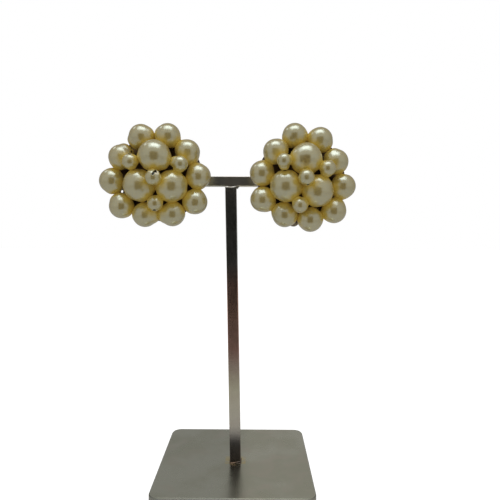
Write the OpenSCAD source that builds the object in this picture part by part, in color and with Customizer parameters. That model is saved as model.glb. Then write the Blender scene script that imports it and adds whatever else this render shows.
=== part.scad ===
// A pair of pearl cluster clip earrings, clipped side by side on a small T-bar display stand.
// Millimetres, +Z up. The origin is the middle of the underside of the stand's base.
// The earrings are on the -Y side of the crossbar and the wearer's side is +Y.

/* [Pearls] */
// Diameter of the ten outer pearls of each earring
ring_pearl_d = 8; // [5:0.5:12]
// Diameter of the three large pearls inside the ring
large_pearl_d = 10; // [6:0.5:14]
// Diameter of the small filler pearls
small_pearl_d = 5; // [3:0.5:7]
// Clear space between a pearl and what it rests on
seat_gap = 0.1; // [0.05:0.05:0.3]
// Diameter of the stringing hole in a pearl
drill_d = 1; // [0.6:0.1:1.6]
// Diameter of the stringing wire
wire_d = 0.5; // [0.3:0.1:1]

/* [Back plate] */
// Diameter of the pierced plate behind the pearls
plate_d = 29; // [20:0.5:34]
// Height of the plate's middle above the middle of the pearls
plate_rise = 0.5; // [0:0.1:0.8]
// Thickness of the plate
plate_t = 0.8; // [0.5:0.1:1.5]
// Radius of the plate's shallow dome
dome_r = 45; // [30:1:80]
// Diameter of the holes pierced in the plate
pierce_d = 1.4; // [1:0.1:1.8]
// Diameter of the peg that carries the middle pearl
peg_d = 0.7; // [0.5:0.1:1]

/* [Clip] */
// Thickness of the clip's strip
clip_t = 0.8; // [0.5:0.1:1.2]
// Width of the clip's strip
clip_w = 3.6; // [3:0.2:6]
// Distance from the middle of the left earring down to the end of its clip
left_clip_drop = 14.3; // [12:0.1:18]
// Distance from the middle of the right earring down to the end of its clip
right_clip_drop = 15.4; // [12:0.1:18]
// Height of the bracket's upper end below the middle of the earring
bracket_top = 5.5; // [4:0.5:9]
// Diameter of the pad that presses on the back of the bar
pad_d = 9; // [6:0.5:12]
// Height of the middle of the pad above the middle of the earring
pad_rise = 0.6; // [-2:0.1:3]
// Lean of the lip at the top of the lever, in degrees
lip_lean = 35; // [0:5:60]
// Diameter of a rivet between the bracket and the plate
rivet_d = 1.6; // [1:0.1:2.5]

/* [Stand] */
// Width and depth of the square base
base_w = 51.4; // [40:0.1:80]
// Thickness of the base
base_t = 3; // [1.5:0.5:6]
// Corner radius of the base seen from above
base_corner_r = 3.4; // [0.5:0.1:6]
// Chamfer round the top edge of the base
base_chamfer = 0.35; // [0.1:0.05:1]
// Thickness of the square post
post_w = 3.75; // [2:0.05:6]
// Lean of the post to the left, in degrees
post_lean = 1.06; // [0:0.02:3]
// Height of the crossbar's top above the table
bar_top = 101.3; // [98:0.1:104]
// Height of the crossbar's section
bar_h = 3.3; // [2:0.1:6]
// Depth of the crossbar's section
bar_d = 3.2; // [2:0.1:6]
// Length of the crossbar
bar_len = 64; // [50:1:90]
// Small bevel along the edges of the post and the crossbar
rod_bevel = 0.15; // [0.1:0.05:0.6]
// Spread of the solder round the top of the post
solder = 0.6; // [0.2:0.1:1.2]
// Shift of that solder to the right
solder_shift = 0.4; // [0:0.1:0.8]
// Spread of the solder round the post's foot
foot_solder = 0.2; // [0.1:0.05:0.8]

/* [Placing] */
// Post's foot to the right of the base's middle
post_x = 0.2; // [-5:0.05:5]
// Post's foot behind the base's middle, so that a negative value is in front
post_y = -1.5; // [-10:0.1:10]
// Left earring's middle, from the base's middle
left_x = -25.4; // [-32:0.1:-18]
// Left earring's middle, above the table
left_z = 100.3; // [95:0.1:105]
// Left earring's turn on the bar, in degrees
left_turn = 3; // [-15:1:15]
// Right earring's middle, from the base's middle
right_x = 21.8; // [18:0.1:32]
// Right earring's middle, above the table
right_z = 99.8; // [95:0.1:105]
// Right earring's turn on the bar, in degrees
right_turn = -9; // [-15:1:15]

/* [Hidden] */
$fn = 48;

// Places of the pearls in an earring's own frame.
// Columns: angle from the right-hand side in degrees, distance from the middle in mm,
// then the diameter where it isn't the usual one.
left_ring = [
    [107, 14.0], [71, 14.0], [36, 13.1], [359, 13.7], [325, 14.8],
    [291, 12.9], [250, 12.6], [216, 14.7], [181, 14.6], [147, 13.1]
];
right_ring = [
    [109, 14.3], [75, 14.0], [37, 12.2], [0, 13.4], [325, 14.5],
    [291, 13.2], [253, 12.7], [216, 14.3], [180, 13.1], [144, 12.3]
];
left_large = [[85, 6.5], [205, 5.8], [328, 6.1]];
right_large = [[91, 6.3], [212, 5.9], [329, 6.1]];
// The fourth small pearl sits on top, in the middle.
left_small = [[145, 8.6], [22, 9.3], [269, 8.5], [307, 0.8]];
right_small = [[149, 8.2, 4.6], [31, 8.0], [272, 8.5], [7, 0.6]];

// Open stringing holes that show on small pearls.
// Columns: number of the small pearl, direction in degrees, lean of the hole towards the front.
left_open_holes = [[1, 82, 20], [3, 267, 16], [4, 40, 45]];
right_open_holes = [[4, 287, 11]];

ring_r = ring_pearl_d / 2;
large_r = large_pearl_d / 2;
small_r = small_pearl_d / 2;
plate_r = plate_d / 2;
ring_count = len(left_ring);

// Planes across the stand: the bar is flush with the front of the post.
bar_front_y = post_y - post_w / 2;
bar_gap = 0.15;
plate_back_y = bar_front_y - bar_gap;

// Lever side of the clip, measured back from the plate's rim.
lever_front = bar_d + 2 * bar_gap;
bend_r = (lever_front + clip_t - bar_gap) / 2;
bend_z = -bar_gap - bend_r;
lever_top = pad_rise + pad_d / 2 - 1.5;
lip_len = 2.2;

// Distance from the dome's centre forward to the plate's rim.
dome_drop = sqrt(pow(dome_r - plate_t, 2) - plate_r * plate_r);

// Share of a pearl's distance from the middle at which the hole behind it is pierced.
behind = 0.86;
// Holes of the left plate that show between its pearls.
// Columns: angle from the right-hand side in degrees, distance from the middle, diameter.
left_extra_holes = [[196, 13.0, 1.0]];

colour_pearl = [0.86, 0.82, 0.70];
colour_plate = [0.20, 0.16, 0.11];
colour_clip = [0.55, 0.50, 0.40];
colour_wire = [0.30, 0.24, 0.15];
colour_stand = [0.32, 0.32, 0.29];

function on_plane(row) = row[1] * [cos(row[0]), sin(row[0])];

// Height at which a pearl rests on the dome alone.
function on_dome(radius, distance) =
    sqrt(pow(dome_r + radius + seat_gap, 2) - distance * distance) - dome_drop;

// Height at which a pearl rests on one that is already in place, or 0 where they don't meet.
function on_pearl(radius, at, under) =
    let (reach = radius + under[3] + seat_gap)
    let (apart = norm([at[0] - under[0], at[1] - under[1]]))
    apart < reach ? under[2] + sqrt(reach * reach - apart * apart) : 0;

// A placed pearl is [x, y, height of its centre, radius].
function rest(row, radius, placed) =
    let (at = on_plane(row))
    let (heights = [for (under = placed) on_pearl(radius, at, under)])
    [at[0], at[1], max(concat(on_dome(radius, row[1]), heights)), radius];

function own_radius(row, usual) = len(row) > 2 ? row[2] / 2 : usual;

function stack(rows, radius, placed, i = 0) =
    i == len(rows)
    ? placed
    : stack(rows, radius, concat(placed, [rest(rows[i], own_radius(rows[i], radius), placed)]), i + 1);

function cluster(ring, large, small) =
    stack(small, small_r, stack(large, large_r, stack(ring, ring_r, [])));

left_pearls = cluster(left_ring, left_large, left_small);
right_pearls = cluster(right_ring, right_large, right_small);

// Numbers of the pearls in a cluster: the ring first, then the large ones, then the small ones.
first_large = ring_count;
first_small = first_large + len(left_large);
middle_pearl = first_small + 3;
// The large and small pearls of the inner ring, in the order in which the wire passes through them.
inner_order = [
    first_large, first_small + 1, first_large + 2,
    first_small + 2, first_large + 1, first_small
];
ring_order = [for (i = [0 : ring_count - 1]) i];
// Hollow inside a strung pearl, where its wire bends.
bend_room_d = 1.8;

function unit(way) = way / norm(way);
function centre(pearl) = [pearl[0], pearl[1], pearl[2]];
function next_in(order, i) = order[(i + 1) % len(order)];
function previous_in(order, i) = order[(i + len(order) - 1) % len(order)];
// Number of a pearl's place on the inner wire.
function inner_place(pearl) = search(pearl, inner_order)[0];

// Foot of the middle peg: between the three large pearls.
function peg_foot(pearls) =
    let (sum = pearls[first_large] + pearls[first_large + 1] + pearls[first_large + 2])
    let (x = sum[0] / 3, y = sum[1] / 3)
    [x, y, sqrt(pow(dome_r - plate_t / 2, 2) - x * x - y * y) - dome_drop];

// Places its children in the frame of the left or right earring, +Z towards the viewer.
module left_place() {
    translate([left_x, plate_back_y, left_z]) rotate([90, 0, 0]) rotate(left_turn) children();
}

module right_place() {
    translate([right_x, plate_back_y, right_z]) rotate([90, 0, 0]) rotate(right_turn) children();
}

// Turns its children's +Z to a direction.
module towards(way) {
    rotate([0, acos(way[2] / norm(way)), atan2(way[1], way[0])]) children();
}

// A pearl drilled towards its two neighbours on the wire, with room inside for the wire's bend.
// It is turned so that both holes lie in its own XY plane, away from its X axis.
module strung_pearl(pearls, order, i) {
    pearl = pearls[order[i]];
    onward = unit(centre(pearls[next_in(order, i)]) - centre(pearl));
    back = unit(centre(pearls[previous_in(order, i)]) - centre(pearl));
    x = -unit(onward + back);
    z = unit(cross(onward, back));
    y = cross(z, x);
    opening = acos(x * onward);
    color(colour_pearl)
        translate(centre(pearl))
            multmatrix([[x[0], y[0], z[0], 0], [x[1], y[1], z[1], 0], [x[2], y[2], z[2], 0], [0, 0, 0, 1]])
                difference() {
                    sphere(r = pearl[3]);
                    sphere(d = bend_room_d);
                    for (turn = [opening, -opening]) {
                        rotate([0, 90, turn]) cylinder(d = drill_d, h = 2 * pearl[3]);
                    }
                }
}

// A hole that is left open, from inside a pearl out through its side.
module open_hole(pearl, direction, lean) {
    way = [cos(direction) * cos(lean), sin(direction) * cos(lean), sin(lean)];
    start = 0.4 * pearl[3];
    translate(centre(pearl) + start * way) towards(way) cylinder(d = drill_d, h = pearl[3]);
}

module ring_pearl(pearls, i) {
    strung_pearl(pearls, ring_order, i);
}

module large_pearl(pearls, i) {
    strung_pearl(pearls, inner_order, inner_place(first_large + i));
}

// The small pearl in the middle, half drilled for its peg.
module pegged_pearl(pearls) {
    pearl = pearls[middle_pearl];
    color(colour_pearl)
        translate(centre(pearl))
            towards(peg_foot(pearls) - centre(pearl))
                difference() {
                    sphere(r = pearl[3]);
                    translate([0, 0, -seat_gap]) cylinder(d = drill_d, h = 2 * pearl[3]);
                }
}

module small_pearl(pearls, i, open_holes) {
    number = first_small + i;
    difference() {
        if (number == middle_pearl) {
            pegged_pearl(pearls);
        } else {
            strung_pearl(pearls, inner_order, inner_place(number));
        }
        for (hole = open_holes) {
            if (hole[0] == i + 1) {
                open_hole(pearls[number], hole[1], hole[2]);
            }
        }
    }
}

// A closed loop of round wire, bent inside each pearl.
module wire_loop(pearls, order) {
    points = [for (number = order) centre(pearls[number])];
    count = len(points);
    sides = 8;
    skin = [
        for (i = [0 : count - 1])
            let (from = unit(points[i] - points[(i + count - 1) % count]))
            let (onward = unit(points[(i + 1) % count] - points[i]))
            let (mitre = 2 / norm(from + onward))
            let (inward = unit(onward - from))
            let (side = unit(cross(from, onward)))
            for (k = [0 : sides - 1])
                let (turn = k * 360 / sides)
                points[i] + wire_d / 2 * (mitre * cos(turn) * inward + sin(turn) * side)
    ];
    facets = [
        for (i = [0 : count - 1], k = [0 : sides - 1])
            let (here = i * sides, beyond = ((i + 1) % count) * sides, k_next = (k + 1) % sides)
            for (facet = [[here + k, here + k_next, beyond + k_next], [here + k, beyond + k_next, beyond + k]])
                facet
    ];
    color(colour_wire) polyhedron(skin, facets, convexity = 10);
}

// Holes through the plate for the wires, one behind each ring pearl and each large pearl.
module wire_holes(pearls) {
    for (i = [0 : first_small - 1]) {
        translate([behind * pearls[i][0], behind * pearls[i][1], -1]) cylinder(d = pierce_d, h = dome_r);
    }
}

// Shallow domed disc, pierced for wires, with the slanting peg of the middle pearl.
module back_plate(pearls, extra_holes) {
    foot = peg_foot(pearls);
    top = centre(pearls[middle_pearl]);
    short_of_centre = 0.3;
    peg_length = norm(top - foot) - short_of_centre;
    color(colour_plate) {
        difference() {
            intersection() {
                translate([0, 0, -dome_drop]) sphere(r = dome_r, $fn = 96);
                translate([0, plate_rise, -1]) cylinder(r = plate_r, h = dome_r, $fn = 96);
            }
            translate([0, 0, -dome_drop]) sphere(r = dome_r - plate_t, $fn = 96);
            wire_holes(pearls);
            for (hole = extra_holes) {
                rotate(hole[0]) translate([hole[1], 0, -1]) cylinder(d = hole[2], h = dome_r);
            }
        }
        translate(foot) towards(top - foot) cylinder(d = peg_d, h = peg_length);
    }
}

function arc(x, y, radius, from, to, steps) =
    [for (s = [0 : steps]) let (a = from + (to - from) * s / steps) [x + radius * cos(a), y + radius * sin(a)]];

// Side view of the clip: bracket, bend under the bar, lever behind it and leaning lip.
module clip_side(drop) {
    inner_r = bend_r - clip_t;
    bend_y = bend_r - drop;
    back = bend_z - bend_r;
    lip = lip_len * [-sin(lip_lean), cos(lip_lean)];
    polygon(concat(
        [[-bar_gap, -bracket_top], [-bar_gap - clip_t, -bracket_top]],
        arc(bend_z, bend_y, inner_r, 0, -180, 14),
        [[back + clip_t, lever_top], [back + clip_t + lip[0], lever_top + lip[1]]],
        [[back + lip[0], lever_top + lip[1] + 0.2], [back, lever_top + 0.2]],
        arc(bend_z, bend_y, bend_r, -180, 0, 14)
    ));
}

// Front view of the clip: a strip with a round lower end, and the round pad of its lever.
module clip_front(drop) {
    end_y = clip_w / 2 - drop;
    translate([-clip_w / 2, end_y]) square([clip_w, pad_rise - end_y]);
    translate([0, end_y]) circle(d = clip_w);
    translate([0, pad_rise]) circle(d = pad_d);
}

module clip(drop) {
    reach = 40;
    rivet_rows = [-8, -11];
    color(colour_clip) {
        intersection() {
            rotate([0, -90, 0]) linear_extrude(reach, center = true) clip_side(drop);
            linear_extrude(reach, center = true) clip_front(drop);
        }
        for (y = rivet_rows) {
            edge = abs(y) + rivet_d / 2;
            back_of_dome = sqrt(pow(dome_r - plate_t, 2) - edge * edge) - dome_drop;
            translate([0, y, -bar_gap - clip_t / 2])
                cylinder(d = rivet_d, h = back_of_dome - seat_gap + bar_gap + clip_t / 2);
        }
    }
}

// Square section with a small bevel along each edge.
module bevelled(width, depth) {
    b = rod_bevel;
    x = width / 2;
    y = depth / 2;
    polygon([
        [x - b, -y], [x, -y + b], [x, y - b], [x - b, y],
        [-x + b, y], [-x, y - b], [-x, -y + b], [-x + b, -y]
    ]);
}

module rounded_square(width, radius) {
    m = width / 2 - radius;
    polygon(concat(
        arc(m, -m, radius, -90, 0, 8),
        arc(m, m, radius, 0, 90, 8),
        arc(-m, m, radius, 90, 180, 8),
        arc(-m, -m, radius, 180, 270, 8)
    ));
}

module base_plate() {
    upright = base_t - base_chamfer;
    hull() {
        linear_extrude(upright) rounded_square(base_w, base_corner_r);
        linear_extrude(base_t) rounded_square(base_w - 2 * base_chamfer, base_corner_r - base_chamfer);
    }
}

// Solder that spreads from the post onto the plate or bar it meets.
module solder_skirt(spread) {
    hull() {
        cube([post_w + 2 * spread, bar_d - 0.2, 0.02], center = true);
        translate([0, 0, 1.2 * spread]) cube([post_w, bar_d - 0.4, 0.02], center = true);
    }
}

module foot_skirt(spread) {
    hull() {
        cube([post_w + 2 * spread, post_w + 2 * spread, 0.1], center = true);
        translate([0, 0, spread]) cube([post_w, post_w, 0.02], center = true);
    }
}

// Base, post and crossbar, soldered into one solid.
module display_stand() {
    bar_z = bar_top - bar_h / 2;
    bar_y = bar_front_y + bar_d / 2;
    rise = bar_z - base_t;
    top_x = post_x - rise * tan(post_lean);
    color(colour_stand) {
        base_plate();
        translate([post_x, post_y, base_t]) {
            rotate([0, -post_lean, 0])
                translate([0, 0, -1]) linear_extrude(rise / cos(post_lean) + 1) bevelled(post_w, post_w);
            foot_skirt(foot_solder);
        }
        translate([0, bar_y, bar_z])
            rotate([90, 0, 90])
                translate([0, 0, -bar_len / 2]) linear_extrude(bar_len) bevelled(bar_d, bar_h);
        translate([top_x + solder_shift, bar_y, bar_top - bar_h + 0.01])
            rotate([180, 0, 0])
                solder_skirt(solder);
    }
}

display_stand();
left_place() back_plate(left_pearls, left_extra_holes);  // left_back_plate
left_place() clip(left_clip_drop);  // left_clip
left_place() wire_loop(left_pearls, ring_order);  // left_ring_wire
left_place() wire_loop(left_pearls, inner_order);  // left_inner_wire
right_place() back_plate(right_pearls, []);  // right_back_plate
right_place() clip(right_clip_drop);  // right_clip
right_place() wire_loop(right_pearls, ring_order);  // right_ring_wire
right_place() wire_loop(right_pearls, inner_order);  // right_inner_wire

for (i = [0 : ring_count - 1]) {
    left_place() ring_pearl(left_pearls, i);
    right_place() ring_pearl(right_pearls, i);
}
for (i = [0 : 2]) {
    left_place() large_pearl(left_pearls, i);
    right_place() large_pearl(right_pearls, i);
}
for (i = [0 : 3]) {
    union() {
        left_place() small_pearl(left_pearls, i, left_open_holes);
    }
    union() {
        right_place() small_pearl(right_pearls, i, right_open_holes);
    }
}
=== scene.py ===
import math
import bpy
import numpy as np
from mathutils import Matrix, Vector


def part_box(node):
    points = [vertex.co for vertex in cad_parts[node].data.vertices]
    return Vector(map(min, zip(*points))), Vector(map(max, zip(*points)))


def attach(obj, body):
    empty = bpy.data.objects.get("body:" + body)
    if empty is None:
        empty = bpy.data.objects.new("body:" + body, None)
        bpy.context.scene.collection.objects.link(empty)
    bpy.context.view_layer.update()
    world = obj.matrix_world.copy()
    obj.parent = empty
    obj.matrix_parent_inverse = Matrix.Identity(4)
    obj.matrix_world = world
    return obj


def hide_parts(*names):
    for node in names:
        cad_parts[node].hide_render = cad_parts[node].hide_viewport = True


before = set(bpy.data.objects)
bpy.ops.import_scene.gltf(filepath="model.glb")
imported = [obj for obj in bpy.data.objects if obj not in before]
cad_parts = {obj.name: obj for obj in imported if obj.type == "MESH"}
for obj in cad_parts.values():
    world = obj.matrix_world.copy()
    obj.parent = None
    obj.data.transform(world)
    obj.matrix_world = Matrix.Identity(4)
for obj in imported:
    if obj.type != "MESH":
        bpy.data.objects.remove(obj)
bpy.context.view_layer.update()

scene = bpy.context.scene
mm = 0.001
white = (1, 1, 1, 1)


def addPiece(name, data):
    piece = bpy.data.objects.new(name, data)
    scene.collection.objects.link(piece)
    return piece


# Camera: place in mm from the middle of the base, angles in degrees.
cameraValues = {
    "place": (6.192, -171.708, 85.285),
    "turn": -0.4086,   # to the right
    "tilt": 2.9368,    # down
    "roll": -0.2030,
    "lens": 36.02,
    "sensor": 36.0,
    "nearest": 10.0,   # clipping distance in mm
}


def buildCamera(values):
    turn, tilt, roll = (math.radians(values[key]) for key in ("turn", "tilt", "roll"))
    ahead = Vector((math.sin(turn) * math.cos(tilt), math.cos(turn) * math.cos(tilt), -math.sin(tilt)))
    level = Vector((math.cos(turn), -math.sin(turn), 0))
    down = ahead.cross(level)
    right = math.cos(roll) * level + math.sin(roll) * down
    up = math.sin(roll) * level - math.cos(roll) * down
    data = bpy.data.cameras.new("camera")
    data.sensor_width = values["sensor"]
    data.lens = values["lens"]
    data.clip_start = values["nearest"] * mm
    camera = addPiece("camera", data)
    turned = Matrix((right, up, -ahead)).transposed().to_4x4()
    camera.matrix_world = Matrix.Translation(Vector(values["place"]) * mm) @ turned
    scene.camera = camera


buildCamera(cameraValues)
print("camera placed")


# Short ways to build node trees. A node's place is its column and row in the node editor.
columnWidth = 190
rowHeight = 170
noiseSpan = (0.3, 0.7)   # most values of a noise lie between these


def addNode(tree, kind, place=(0, 0), **settings):
    node = tree.nodes.new(kind)
    node.location = (place[0] * columnWidth, -place[1] * rowHeight)
    for key, value in settings.items():
        setattr(node, key, value)
    return node


def join(tree, source, target):
    tree.links.new(source, target)


def feed(tree, node, **inputs):
    # Sets or links inputs by name, with spaces as underscores, or by number, as i0 or i1.
    for key, value in inputs.items():
        numbered = key[1:].isdigit()
        socket = node.inputs[int(key[1:]) if numbered else key.replace("_", " ")]
        if isinstance(value, bpy.types.NodeSocket):
            join(tree, value, socket)
        else:
            socket.default_value = value
    return node


def mathNode(tree, operation, a, b=0.0, place=(0, 0)):
    node = addNode(tree, "ShaderNodeMath", place, operation=operation)
    return feed(tree, node, i0=a, i1=b).outputs[0]


def multiply(tree, a, b, place=(0, 0)):
    return mathNode(tree, "MULTIPLY", a, b, place)


def mixColour(tree, factor, a, b, place=(0, 0), blend="MIX"):
    # On a Mix node for colours, inputs 6 and 7 are the colours and output 2 is the result.
    node = addNode(tree, "ShaderNodeMix", place, data_type="RGBA", blend_type=blend)
    return feed(tree, node, i0=factor, i6=a, i7=b).outputs[2]


def tint(tree, mask, colour, by, place=(0, 0)):
    # Multiplies a colour by another one where the mask is on.
    tinted = mixColour(tree, 1.0, colour, by, (place[0] - 1, place[1] + 1), "MULTIPLY")
    return mixColour(tree, mask, colour, tinted, place)


def ramp(tree, factor, limits, place=(0, 0), ends=(0.0, 1.0)):
    # A smooth step from one end to the other while the factor passes its limits.
    node = addNode(tree, "ShaderNodeMapRange", place, interpolation_type="SMOOTHSTEP")
    return feed(tree, node, i0=factor, i1=limits[0], i2=limits[1], i3=ends[0], i4=ends[1]).outputs[0]


def rampMm(tree, distance, limits, place=(0, 0), ends=(0.0, 1.0)):
    # The same for a distance, with its limits in mm.
    return ramp(tree, distance, [limit * mm for limit in limits], place, ends)


def noiseNode(tree, vector, scale, detail=2.0, rough=0.5, place=(0, 0), distort=0.0):
    node = addNode(tree, "ShaderNodeTexNoise", place)
    feed(tree, node, Vector=vector, Scale=scale, Detail=detail, Roughness=rough, Distortion=distort)
    return node.outputs["Fac"]


def splitAxes(tree, vector, place=(0, 0)):
    return feed(tree, addNode(tree, "ShaderNodeSeparateXYZ", place), i0=vector).outputs


def newMaterial(name):
    # A material with a Principled BSDF, and the object coordinates for its patterns.
    material = bpy.data.materials.new(name)
    material.use_nodes = True
    tree = material.node_tree
    tree.nodes.clear()
    shader = addNode(tree, "ShaderNodeBsdfPrincipled", (7, 0))
    join(tree, shader.outputs[0], addNode(tree, "ShaderNodeOutputMaterial", (9, 0)).inputs[0])
    coords = addNode(tree, "ShaderNodeTexCoord", (-6, 0)).outputs["Object"]
    return material, tree, shader, coords


def addSockets(tree, inputs, outputs):
    # Inputs are (name, kind, starting value), outputs (name, kind). Returns the inputs' identifiers.
    identifiers = {}
    for name, kind, start in inputs:
        socket = tree.interface.new_socket(name, in_out="INPUT", socket_type="NodeSocket" + kind)
        if start is not None:
            socket.default_value = start
        identifiers[name] = socket.identifier
    for name, kind in outputs:
        tree.interface.new_socket(name, in_out="OUTPUT", socket_type="NodeSocket" + kind)
    return identifiers


# Shader groups that several materials share.
def startGroup(name, inputs, outputs):
    tree = bpy.data.node_groups.new(name, "ShaderNodeTree")
    addSockets(tree, inputs, outputs)
    return (tree, addNode(tree, "NodeGroupInput", (-4, 0)).outputs,
            addNode(tree, "NodeGroupOutput", (4, 0)).inputs)


def makeGrainGroup():
    # Fine grain of a surface, as a normal.
    tree, inputs, outputs = startGroup("surfaceGrain", (
        ("Vector", "Vector", None), ("Scale", "Float", 900.0), ("Strength", "Float", 0.1),
        ("Distance", "Float", 0.0001)), (("Normal", "Vector"),))
    grain = noiseNode(tree, inputs["Vector"], inputs["Scale"], 2.0, 0.6, (-2, 0))
    bump = addNode(tree, "ShaderNodeBump", (0, 0))
    feed(tree, bump, Height=grain, Strength=inputs["Strength"], Distance=inputs["Distance"])
    join(tree, bump.outputs[0], outputs["Normal"])
    return tree


def makeMottleGroup():
    # Two colours in clouds, with the mask that parts them.
    tree, inputs, outputs = startGroup("mottledColour", (
        ("Vector", "Vector", None), ("Scale", "Float", 200.0), ("Warp", "Float", 0.0),
        ("Low", "Float", 0.38), ("High", "Float", 0.62), ("Colour A", "Color", None),
        ("Colour B", "Color", None)), (("Colour", "Color"), ("Mask", "Float")))
    cloud = noiseNode(tree, inputs["Vector"], inputs["Scale"], 3.0, 0.6, (-2, 0), inputs["Warp"])
    mask = ramp(tree, cloud, (inputs["Low"], inputs["High"]), (-1, 0))
    colour = mixColour(tree, mask, inputs["Colour A"], inputs["Colour B"], (1, 0))
    join(tree, colour, outputs["Colour"])
    join(tree, mask, outputs["Mask"])
    return tree


grainGroup = makeGrainGroup()
mottleGroup = makeMottleGroup()


def addGroup(tree, group, place=(0, 0), **inputs):
    node = addNode(tree, "ShaderNodeGroup", place, node_tree=group)
    return feed(tree, node, **inputs).outputs


def addGrain(tree, shader, coords, grain):
    bumps = addGroup(tree, grainGroup, (5, 4), Vector=coords, **grain)
    join(tree, bumps["Normal"], shader.inputs["Normal"])


# Finish of the pearls: a cream lacquer over a pale core, yellowed and painted with golden bounce light
# where pearls sit close together.
pearlFinish = {
    "cream": (0.44, 0.34, 0.115, 1),
    "creamWarm": (0.46, 0.33, 0.09, 1),
    "cloudScale": 260.0,    # clouds of the warm cream
    "cloudWarmth": 0.6,
    "ownWarmth": 0.5,       # by which one pearl is warmer than another
    # yellowing, with painted golden bounce light, where pearls sit close together
    "creviceYellowAndBounce": (0.60, 0.435, 0.060, 1),
    "stain": (0.20, 0.12, 0.03, 1),
    "fleckScale": 1700.0,   # flecks that a stain breaks up into
    "fleckLimits": (0.32, 0.62),
    "leastStain": 0.25,     # left between the flecks
    # pale core where the lacquer has chipped, also painted as the lit inner wall of a broad chip
    "core": (0.95, 0.88, 0.66, 1),
    # painted shade in holes and cracks, and the dark of pits
    "holeShadeAndSpots": (0.020, 0.012, 0.008, 1),
    "glow": (0.50, 0.33, 0.07, 1),   # painted glow, standing in for light that soaks through the lacquer in the crevices
    "paintedGlowStrength": 0.088,
    "ior": 2.4,
    "sheen": (0.84, 1.0, 0.95, 1),
    "gloss": (0.80, 0.52),           # reflection seen head on, and towards the rim
    "glossLimits": (0.25, 0.95),
    "creviceLimits": (0.1, 0.9),
    "crevicePolish": 0.25,           # polish left in the crevices
    "wornPolish": 0.1,               # polish left where the lacquer is bored, chipped or stained
    "stainWear": 0.9,
    "roughness": (0.22, 0.25),
    "roughScale": 700.0,
    "coat": 0.5,
    "coatRoughness": 0.15,
    "coatIor": 1.5,
    "rimSheen": 0.14,
    "sheenRoughness": 0.35,
    "grain": {"Scale": 420.0, "Strength": 0.02, "Distance": 0.0002},
}


def makePearlMaterial(values):
    material, tree, shader, coords = newMaterial("pearlLacquer")
    creviceYellowAndBounce, shade, bareCoreAndLitWall, stain, holeShadeAndSpots = (
        addNode(tree, "ShaderNodeAttribute", (-6, 2 + k), attribute_name=name).outputs["Fac"]
        for k, name in enumerate(("creviceYellowAndBounce", "shade", "bareCoreAndLitWall", "stain", "holeShadeAndSpots")))
    cloud = noiseNode(tree, coords, values["cloudScale"], 3.0, 0.6, (-4, 0))
    warmth = mathNode(tree, "ADD", multiply(tree, cloud, values["cloudWarmth"], (-3, 0)),
                      multiply(tree, shade, values["ownWarmth"], (-3, 1)), (-2, 0))
    colour = mixColour(tree, warmth, values["cream"], values["creamWarm"], (-1, 0))
    # Near other pearls the colour turns to the yellowing with its painted bounce light.
    colour = mixColour(tree, creviceYellowAndBounce, colour, values["creviceYellowAndBounce"], (1, 0))
    # Stains break up into flecks. Bare core shows where the lacquer has chipped, and stands for the
    # painted lit wall on one side of a broad chip. Holes and cracks are painted dark as shade, and pits
    # dark.
    flecks = noiseNode(tree, coords, values["fleckScale"], 2.0, 0.6, (-4, 2), 0.5)
    flecks = ramp(tree, flecks, values["fleckLimits"], (-2, 2), (values["leastStain"], 1.0))
    layers = ((multiply(tree, stain, flecks, (0, 2)), "stain"), (bareCoreAndLitWall, "core"), (holeShadeAndSpots, "holeShadeAndSpots"))
    for k, (mask, key) in enumerate(layers):
        colour = mixColour(tree, mask, colour, values[key], (2 + k, 0))
    # A painted glow in the crevices, kept out of the painted hole shade.
    glow = multiply(tree, creviceYellowAndBounce, values["paintedGlowStrength"], (4, 8))
    glow = multiply(tree, glow, mathNode(tree, "SUBTRACT", 1.0, holeShadeAndSpots, (4, 9)), (5, 8))
    # The polish has gone from the crevices, and from where the lacquer is bored, chipped or stained.
    worn = mathNode(tree, "MAXIMUM", mathNode(tree, "MAXIMUM", holeShadeAndSpots, bareCoreAndLitWall, (1, 9)),
                    multiply(tree, stain, values["stainWear"], (1, 10)), (2, 9))
    polish = multiply(
        tree, ramp(tree, creviceYellowAndBounce, values["creviceLimits"], (2, 8), (1.0, values["crevicePolish"])),
        ramp(tree, worn, (0.0, 1.0), (3, 9), (1.0, values["wornPolish"])), (3, 8))
    facing = feed(tree, addNode(tree, "ShaderNodeLayerWeight", (1, 6)), Blend=0.5).outputs["Facing"]
    gloss = ramp(tree, facing, values["glossLimits"], (3, 6), values["gloss"])
    fine = noiseNode(tree, coords, values["roughScale"], 2.0, 0.6, (-4, 5))
    rough = ramp(tree, fine, noiseSpan, (0, 5), values["roughness"])
    coat = ramp(tree, bareCoreAndLitWall, (0.0, 1.0), (3, 3), (values["coat"], 0.0))
    feed(tree, shader, Base_Color=colour, Roughness=rough, IOR=values["ior"],
         Specular_IOR_Level=multiply(tree, gloss, polish, (4, 6)),
         Specular_Tint=values["sheen"], Emission_Color=values["glow"], Emission_Strength=glow)
    feed(tree, shader, Coat_Weight=multiply(tree, coat, polish, (4, 3)), Coat_IOR=values["coatIor"],
         Coat_Roughness=values["coatRoughness"], Sheen_Roughness=values["sheenRoughness"],
         Sheen_Weight=multiply(tree, polish, values["rimSheen"], (4, 5)))
    addGrain(tree, shader, coords, values["grain"])
    return material
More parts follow.
